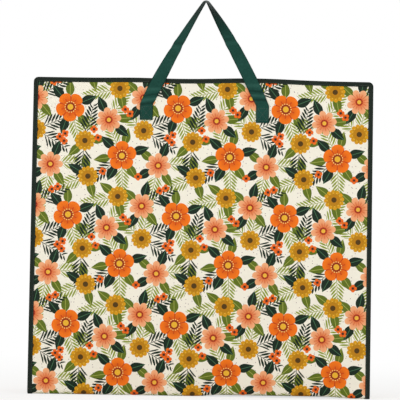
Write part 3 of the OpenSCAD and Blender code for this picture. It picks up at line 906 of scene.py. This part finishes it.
def coil_turns(name, hand, start, end, side, moves, replaced):
    """Turns of the zip coil: arched monofilament bars that cross the middle of the zip."""
    points, faces = [], []
    rise = COIL_TOP - TAPE_TOP
    half_step = 0.25 if side < 0 else 0.75
    for turn in range(int((end - start) / COIL_PITCH)):
        x = hand * (start + (turn + half_step) * COIL_PITCH)
        # the turns that the slider parks on lie apart, beside its divider
        tip = -0.7 * MM if abs(x) < PARKED_X else 1.0 * MM
        arch = [(COIL_EDGE_Y, 0.1), (COIL_EDGE_Y - 0.5 * MM, 0.62), (COIL_EDGE_Y * 0.6, 0.8),
                (tip + 0.7 * MM, 0.8), (tip + 0.15 * MM, 0.55), (tip, 0.1)]
        arch = [Vector((x, side * y, TAPE_TOP + up * rise)) for y, up in arch]
        faces += tube_faces(len(points), len(arch), COIL_SIDES)
        for step, spot in enumerate(arch):
            ahead = arch[min(len(arch) - 1, step + 1)] - arch[max(0, step - 1)]
            over = Vector((1, 0, 0)).cross(ahead.normalized())
            points += ring_points(spot, Vector((COIL_ALONG, 0, 0)), over * COIL_UP, COIL_SIDES)
    piece = new_piece(name, points, faces, [coil_nylon])
    face_outward(piece)
    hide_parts(replaced)
    moves(piece)


def tape_half(name, hand, start, end, side, moves, replaced):
    """A flat length of zip tape."""
    xs, ys = spaced(start, end, CELL), spaced(0.9 * MM, TAPE_EDGE_Y, 4 * MM)
    points = [(hand * x, side * y, TAPE_TOP) for x in xs for y in ys]
    cut = [(x, y) for x in xs for y in ys]
    faces = grid_faces(len(xs), len(ys), hand * side > 0)
    piece = new_piece(name, points, faces, [zip_tape], cut)
    wall = piece.modifiers.new("tape_thickness", "SOLIDIFY")
    wall.thickness = 0.5 * MM
    wall.offset = -1
    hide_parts(replaced)
    moves(piece)


for side, side_name in SIDES:
    for hand, end_name in ENDS:
        opening = bends()
        name = f"{side_name}_{end_name}"
        xs = spaced(0.0, ZIP_END_X - 0.6 * MM, CELL)
        points, cut = [], []
        for x in xs:
            for y, lift in strip_section:
                z = SEAM_Z - 0.5 * MM + lift - top_drop(x, y)
                z += edge_wave(hand * x) * smooth(y, 0.03, HEM_Y)
                points.append((hand * x, side * y, z))
                cut.append((hand * x, side * y + STRIP_CUT))
        faces = grid_faces(len(xs), len(strip_section), hand * side < 0)
        strip = new_sheet(name + "_strip_fabric", points, faces, cut)
        opening(strip)
        thickened(strip, 0)
        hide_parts(side_name + "_top_strip")
        tape_half(name + "_zip_tape", hand, 0.0, ZIP_END_X, side, opening, side_name + "_zip_tape")
        coil_turns(name + "_zip_coil", hand, 0.0, ZIP_END_X, side, opening, side_name + "_zip_coil")
        row_y, row_x = STRIP_EDGE_Y + 2.4 * MM, ZIP_END_X - 3 * MM
        along = [(x, row_y) for x in spaced(1.5 * MM, row_x, CELL)]
        across = [(row_x, y) for y in spaced(STRIP_EDGE_Y + 3 * MM, HEM_Y - 2 * MM, 4 * MM)]
        lines = []
        for row in (along, across):
            line = [Vector((hand * x, side * y, SEAM_Z - 0.3 * MM - top_drop(x, y))) for x, y in row]
            lines.append((line, [Vector((0, 0, 1))] * len(line)))
        stitched(name + "_strip_stitches", lines, opening)

for hand, end_name in ENDS:
    for side, side_name in SIDES:
        name = f"{end_name}_{side_name}_tail"
        tape_half(name + "_tape", hand, ZIP_END_X, TAIL_END_X, side, ON_BAG, end_name + "_zip_tail")
        coil_turns(name + "_coil", hand, ZIP_END_X, TAB_LOW.x - 1 * MM, side, ON_BAG,
                   end_name + "_tail_coil")

# Binding: one folded tape with rounded edges, drawn round each seam
BINDING_W = 9 * MM
BINDING_OVER = [(0.06, 0.1), (0.25, 0.42), (7.7, 0.45), (8.6, 0.25), (9.05, -0.5), (9.1, -1.35),
                (9.05, -2.2), (8.6, -2.95), (7.7, -3.15), (0.25, -3.12), (0.06, -2.8)]
BINDING_UNDER = [(0.05, -2.35), (7.6, -2.35), (8.2, -1.95), (8.2, -0.75), (7.6, -0.35), (0.05, -0.32)]
binding_section = [(a * MM, u * MM) for a, u in BINDING_OVER + BINDING_UNDER]
STITCH_ROW = 1.9 * MM
STITCH_LEVELS = ((0.45 * MM, 1), (-3.15 * MM, -1))


def binding(name, rings, replaced):
    """A bound seam and its two rows of stitches."""
    runs = run_lengths([middle + across * BINDING_W for middle, across, up in rings])
    points, faces, cut = sweep(rings, binding_section, runs)
    piece = new_piece(name, points, faces, [binding_tape], cut)
    face_outward(piece)
    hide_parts(*replaced)
    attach(piece, "bag")
    lines = []
    for level, hand in STITCH_LEVELS:
        line = [middle + across * STITCH_ROW + up * level for middle, across, up in rings]
        lines.append((line, [up * hand for middle, across, up in rings]))
    stitched(name.replace("tape", "stitches"), lines, ON_BAG)


fold_runs = spaced(STRAIGHT, STRAIGHT + ARC, ARC / 8)
side_runs = {run for run in body_rows if SEAM_RUN < run < 2 * HALF_RUN - SEAM_RUN}
side_runs |= {run for down in [SEAM_RUN, *fold_runs] for run in (down, 2 * HALF_RUN - down)}
for hand, end_name in ENDS:
    rings = []
    for run in sorted(side_runs):
        middle, out = body_line(run)
        rings.append((middle + Vector((hand * SEAM_X, 0, 0)), Vector((hand, 0, 0)), out))
    binding(end_name + "_side_binding_tape", rings, [end_name + "_side_binding"])

corner_angles = [math.radians(turn) for turn in spaced(0, 90, 15)]
for side, side_name in SIDES:
    y, out = side * HALF_DEPTH, Vector((0, side, 0))
    left, right = [
        [(Vector((hand * SEAM_X, y, SEAM_Z)), Vector((hand * math.cos(a), 0, math.sin(a))), out)
         for a in corner_angles]
        for hand in (-1, 1)
    ]
    top = [(Vector((x, y, SEAM_Z + edge_wave(x))), Vector((0, 0, 1)), out)
           for x in spaced(-SEAM_X, SEAM_X, 8 * MM)[1:-1]]
    binding(side_name + "_top_binding_tape", left + top + right[::-1],
            [side_name + "_top_binding", side_name + "_strip_hem"])

# Handles: one webbing strap each, sewn on at two ends, creased at the top and turning edge-on there
STRAP_T = 1.4 * MM
HINGE = Vector((0, -(HALF_DEPTH + 1.75 * MM), 0.555))
LOOP_Y = -(HALF_DEPTH + 0.95 * MM)
HANDLE_SHIFT = 2.4 * MM
HANDLE_SWING = math.radians(173)
# a leg's curve and the crest's bend, in millimetres across and above the fold
LEG = (Vector((111, 0.2)), Vector((65.25, 97.675)), Vector((3.85, 195.2)))
CREST_TURN = 32.2
CREST_H, CREST_R = 192.8, 4.55
LEAN = math.tan(math.radians(3.5))
TWIST_START, TWIST_RUN, TWIST_MOST = 49, 147, math.radians(73)
LEFT_TWIST, RIGHT_TWIST = 0.72, 1.5
# soft ripples of the legs, each as its height above the fold and how far it stands out, in millimetres
LEFT_RIPPLES = [(15.5, -1.0), (27, 1.3), (40, -0.8), (104, -0.8), (116, 1.0)]
RIGHT_RIPPLES = [(21, 1.1), (33, -1.2), (46, 0.6), (106, 0.8), (119, -1.2)]
RIPPLE_WIDTH = 4.5
FOLD_TURNS = [math.radians(degrees) for degrees in (30, 60, 90, 120, 150)]
strap_section = [(-0.5, 0.0), (-0.49, 0.3), (-0.46, 0.5), (-0.2, 0.46), (0.2, 0.46), (0.46, 0.5),
                 (0.49, 0.3), (0.5, 0.0), (0.49, -0.3), (0.46, -0.5), (0.2, -0.46), (-0.2, -0.46),
                 (-0.46, -0.5), (-0.49, -0.3)]
strap_section = [(a * STRAP_W, u * STRAP_T) for a, u in strap_section]


def strap_ring(hand, x, height, turn, ease):
    """Ring of the upright strap at a height above its fold; ease shapes how it turns edge-on."""
    twist = TWIST_MOST * min(1.0, max(0.0, (height - TWIST_START) / TWIST_RUN)) ** ease
    out_x, out_z = hand * math.cos(turn), math.sin(turn)
    wide = Vector((math.cos(twist) * out_x, math.sin(twist), math.cos(twist) * out_z))
    face = Vector((math.sin(twist) * out_x, -math.cos(twist), math.sin(twist) * out_z))
    middle = Vector((HANDLE_SHIFT + hand * x * MM, LOOP_Y - height * MM * LEAN, HINGE.z + height * MM))
    return middle, wide, face


def leg_ring(hand, share, ease, ripples):
    """Ring of a handle leg, from its fold at share 0 to the crease at 1."""
    a, b, c = LEG
    place = a * (1 - share) ** 2 + b * 2 * share * (1 - share) + c * share**2
    slope = (b - a) * (1 - share) + (c - b) * share
    turn = min(1.0, share / 0.2) * math.atan2(-slope.x, slope.y)
    middle, wide, face = strap_ring(hand, place.x, place.y, turn, ease)
    stand = sum(out * math.exp(-(((place.y - at) / RIPPLE_WIDTH) ** 2)) for at, out in ripples)
    return middle + face * stand * MM, wide, face


def front_loop():
    """Rings of the upright loop from the left fold over the crease to the right fold."""
    shares = spaced(0.0, 1.0, 1 / 64)
    left = [leg_ring(-1, share, LEFT_TWIST, LEFT_RIPPLES) for share in shares]
    right = [leg_ring(1, share, RIGHT_TWIST, RIGHT_RIPPLES) for share in shares]
    crest = []
    for degrees in spaced(180 - CREST_TURN, CREST_TURN, 14.5)[1:-1]:
        turn = math.radians(degrees)
        x, height = CREST_R * math.cos(turn), CREST_H + CREST_R * math.sin(turn)
        crest.append(strap_ring(1, x, height, turn, 1.0))
    return left + crest + right[::-1]


def root_rings(hand, low):
    """Rings of a sewn end, from its lower end up to the fold."""
    x, y = HANDLE_SHIFT + hand * STRAP_ROOT_X, -(HALF_DEPTH + 0.05 * MM + STRAP_T / 2)
    return [(Vector((x, y, z)), Vector((hand, 0, 0)), Vector((0, -1, 0)))
            for z in spaced(low, STRAP_ROOT_HIGH - 1 * MM, 3 * MM)]


def mirrored(ring):
    """The same ring on the back of the bag."""
    return tuple(Vector((v.x, -v.y, v.z)) for v in ring)


def hanging(ring):
    """A ring of the upright loop, folded over to hang."""
    turn = Matrix.Rotation(HANDLE_SWING, 3, "X")
    return turn @ (ring[0] - HINGE) + HINGE, turn @ ring[1], turn @ ring[2]


def fold_rings(hand, start, end):
    """Rings round the fold between a sewn end and a hanging loop."""
    centre, reach = (start + end) / 2, (end - start).length / 2
    arc = [Vector((0, math.cos(angle), math.sin(angle))) for angle in FOLD_TURNS]
    return [(centre + out * reach, Vector((hand, 0, 0)), -out) for out in arc]


def strap(name, rings, start_run, replaced, moves):
    """A length of webbing; start_run keeps the weave in step with the length before it."""
    runs = [start_run + run for run in run_lengths([ring[0] for ring in rings])]
    points, faces, cut = sweep(rings, strap_section, runs)
    piece = new_piece(name, points, faces, [webbing], cut)
    face_outward(piece)
    moves(piece)
    if replaced:
        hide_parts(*replaced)
    return runs[-1]


# The front strap stands up, so one length bends at the fold
left_root = root_rings(-1, STRAP_ROOT_LOW + 3 * MM)
right_root = root_rings(1, STRAP_ROOT_LOW + 0.5 * MM)
loop = front_loop()
strap("front_handle_strap", left_root + loop + right_root[::-1], 0.0,
      ["front_handle_ends", "front_handle_loop"],
      bends())

# The back strap hangs over its own sewn ends, so its ends, folds and loop are lengths of their own
back_loop = [mirrored(hanging(ring)) for ring in loop]
back_left = [mirrored(ring) for ring in left_root]
back_right = [mirrored(ring) for ring in right_root[::-1]]
left_fold = fold_rings(-1, back_left[-1][0], back_loop[0][0])
right_fold = fold_rings(1, back_right[0][0], back_loop[-1][0])[::-1]
folding = bends()
run = 0.0
for name, rings, moves, replaced in (
    ("left_end", back_left, ON_BAG, ["back_handle_ends"]),
    ("left_fold", [back_left[-1], *left_fold, back_loop[0]], folding, []),
    ("strap", back_loop, rides("back_handle"), ["back_handle_loop"]),
    ("right_fold", [back_loop[-1], *right_fold, back_right[0]], folding, []),
    ("right_end", back_right, ON_BAG, ["back_handle_ends"]),
):
    run = strap("back_handle_" + name, rings, run, replaced, moves)

BOX_HALF = 9 * MM
BOX_INSET = 5 * MM
for side, side_name in SIDES:
    lines = []
    out = Vector((0, side, 0))
    y = side * (HALF_DEPTH + STRAP_T + 0.1 * MM)
    low, high = STRAP_ROOT_LOW + BOX_INSET, STRAP_ROOT_HIGH - BOX_INSET
    for hand in (-1, 1):
        middle = HANDLE_SHIFT + hand * STRAP_ROOT_X
        left, right = middle - BOX_HALF, middle + BOX_HALF
        corners = ((left, low), (right, low), (right, high), (left, high))
        corners = [Vector((x, y, z)) for x, z in corners]
        for a, b in ((0, 1), (1, 2), (2, 3), (3, 0), (0, 2), (1, 3)):
            lines.append(([corners[a], corners[b]], [out, out]))
    stitched(side_name + "_handle_thread", lines, ON_BAG, [side_name + "_handle_stitching"])

# Folded webbing tabs over the ends of the zip
TAB_W = 22 * MM
for hand, end_name in ENDS:
    near, far = TAB_LOW.x + 1.6 * MM, TAB_HIGH.x - 0.5 * MM
    low, high = SEAM_Z + 0.2 * MM, TAB_HIGH.z - 0.65 * MM
    middle, reach = (low + high) / 2, (high - low) / 2
    under = [(x, low, 0.0) for x in spaced(far, near, 3 * MM)]
    fold = [(near - reach * math.sin(turn), middle - reach * math.cos(turn), turn)
            for turn in FOLD_TURNS]
    over = [(x, high, math.pi) for x in spaced(near, far, 3 * MM)]
    wide = Vector((0, TAB_W / STRAP_W, 0))
    rings = [(Vector((hand * x, 0, z)), wide, Vector((-hand * math.sin(turn), 0, -math.cos(turn))))
             for x, z, turn in under + fold + over]
    strap(end_name + "_end_tab_webbing", rings, 0.0, [end_name + "_zip_end_tab"], ON_BAG)
    lines = []
    for x in (TAB_LOW.x + 4 * MM, TAB_HIGH.x - 3 * MM):
        places = [Vector((hand * x, y, high + 0.75 * MM)) for y in (-9.5 * MM, 9.5 * MM)]
        lines.append((places, [Vector((0, 0, 1))] * 2))
    stitched(end_name + "_end_tab_stitches", lines, ON_BAG)

# Slider and puller keep their solids, with the cast edges rounded
for node_name in ("zip_slider", "zip_puller"):
    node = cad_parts[node_name]
    for slot in node.material_slots:
        slot.link = "OBJECT"
        slot.material = slider_metal
    rounding = node.modifiers.new("cast_edges", "BEVEL")
    rounding.width = 0.25 * MM
    rounding.segments = 2
    rounding.limit_method = "ANGLE"
    rounding.angle_limit = math.radians(35)

low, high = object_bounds()
